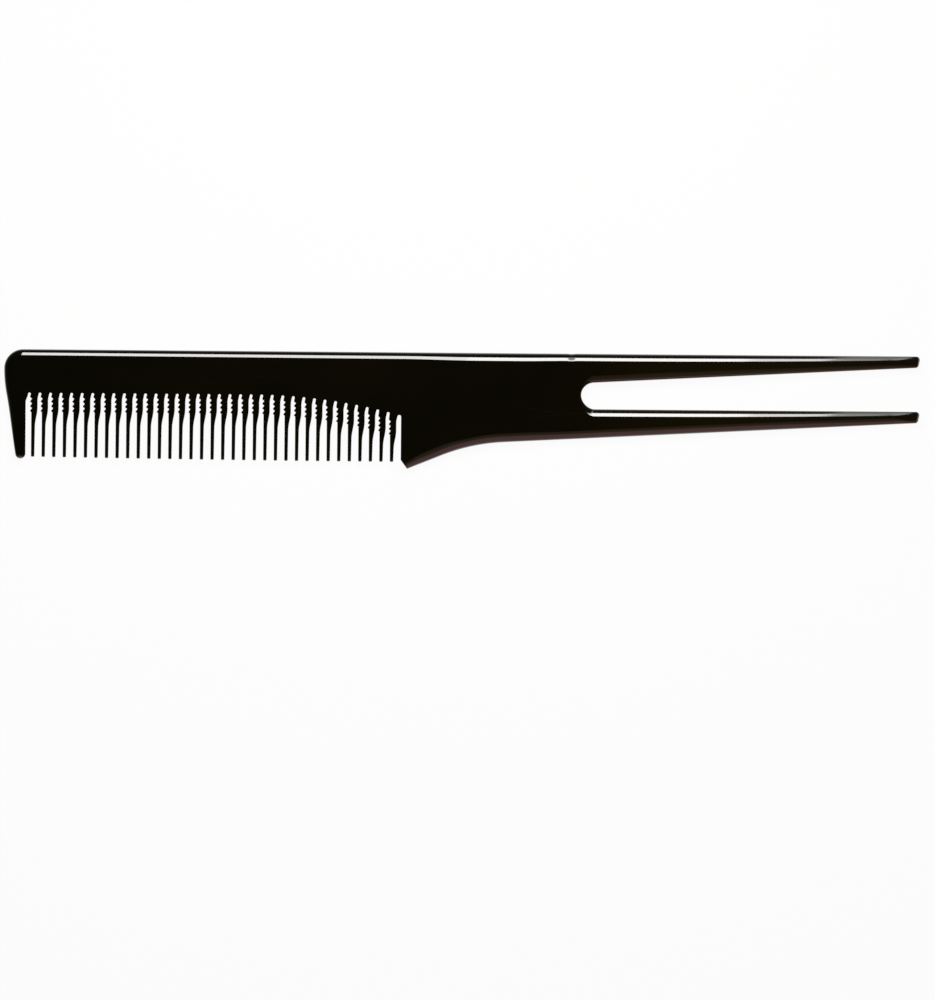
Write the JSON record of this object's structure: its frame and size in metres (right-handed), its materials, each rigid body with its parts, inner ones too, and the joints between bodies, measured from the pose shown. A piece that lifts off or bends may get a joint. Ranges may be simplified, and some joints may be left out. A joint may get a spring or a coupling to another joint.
{
  "type": "fork tail comb",
  "caption": "Flat moulded salon comb with fine teeth serrated at the root, a wide guard tooth, a solid shank and a forked tail for lifting and sectioning hair.",
  "frame": {"origin": "centre of the comb's length and depth, on the face that it lies on", "axes": "+X along the comb towards the tips of the fork, +Y from the tooth tips to the back edge, +Z out of the face that looks up"},
  "size_m": [0.2102, 0.0268, 0.004],
  "materials": {
    "black_plastic": "glossy moulded black with fine handling scratches"
  },
  "bodies": {
    "root": {"spine": "black_plastic", "end_guard_tooth": "black_plastic", "tooth_01": "black_plastic", "tooth_02": "black_plastic", "tooth_03": "black_plastic", "tooth_04": "black_plastic", "tooth_05": "black_plastic", "tooth_06": "black_plastic", "tooth_07": "black_plastic", "tooth_08": "black_plastic", "tooth_09": "black_plastic", "tooth_10": "black_plastic", "tooth_11": "black_plastic", "tooth_12": "black_plastic", "tooth_13": "black_plastic", "tooth_14": "black_plastic", "tooth_15": "black_plastic", "tooth_16": "black_plastic", "tooth_17": "black_plastic", "tooth_18": "black_plastic", "tooth_19": "black_plastic", "tooth_20": "black_plastic", "tooth_21": "black_plastic", "tooth_22": "black_plastic", "tooth_23": "black_plastic", "tooth_24": "black_plastic", "tooth_25": "black_plastic", "tooth_26": "black_plastic", "tooth_27": "black_plastic", "tooth_28": "black_plastic", "tooth_29": "black_plastic", "tooth_30": "black_plastic", "tooth_31": "black_plastic", "tooth_32": "black_plastic", "tooth_33": "black_plastic", "tooth_34": "black_plastic", "tooth_35": "black_plastic", "shank": "black_plastic", "upper_prong": "black_plastic", "lower_prong": "black_plastic"}
  },
  "joints": []
}
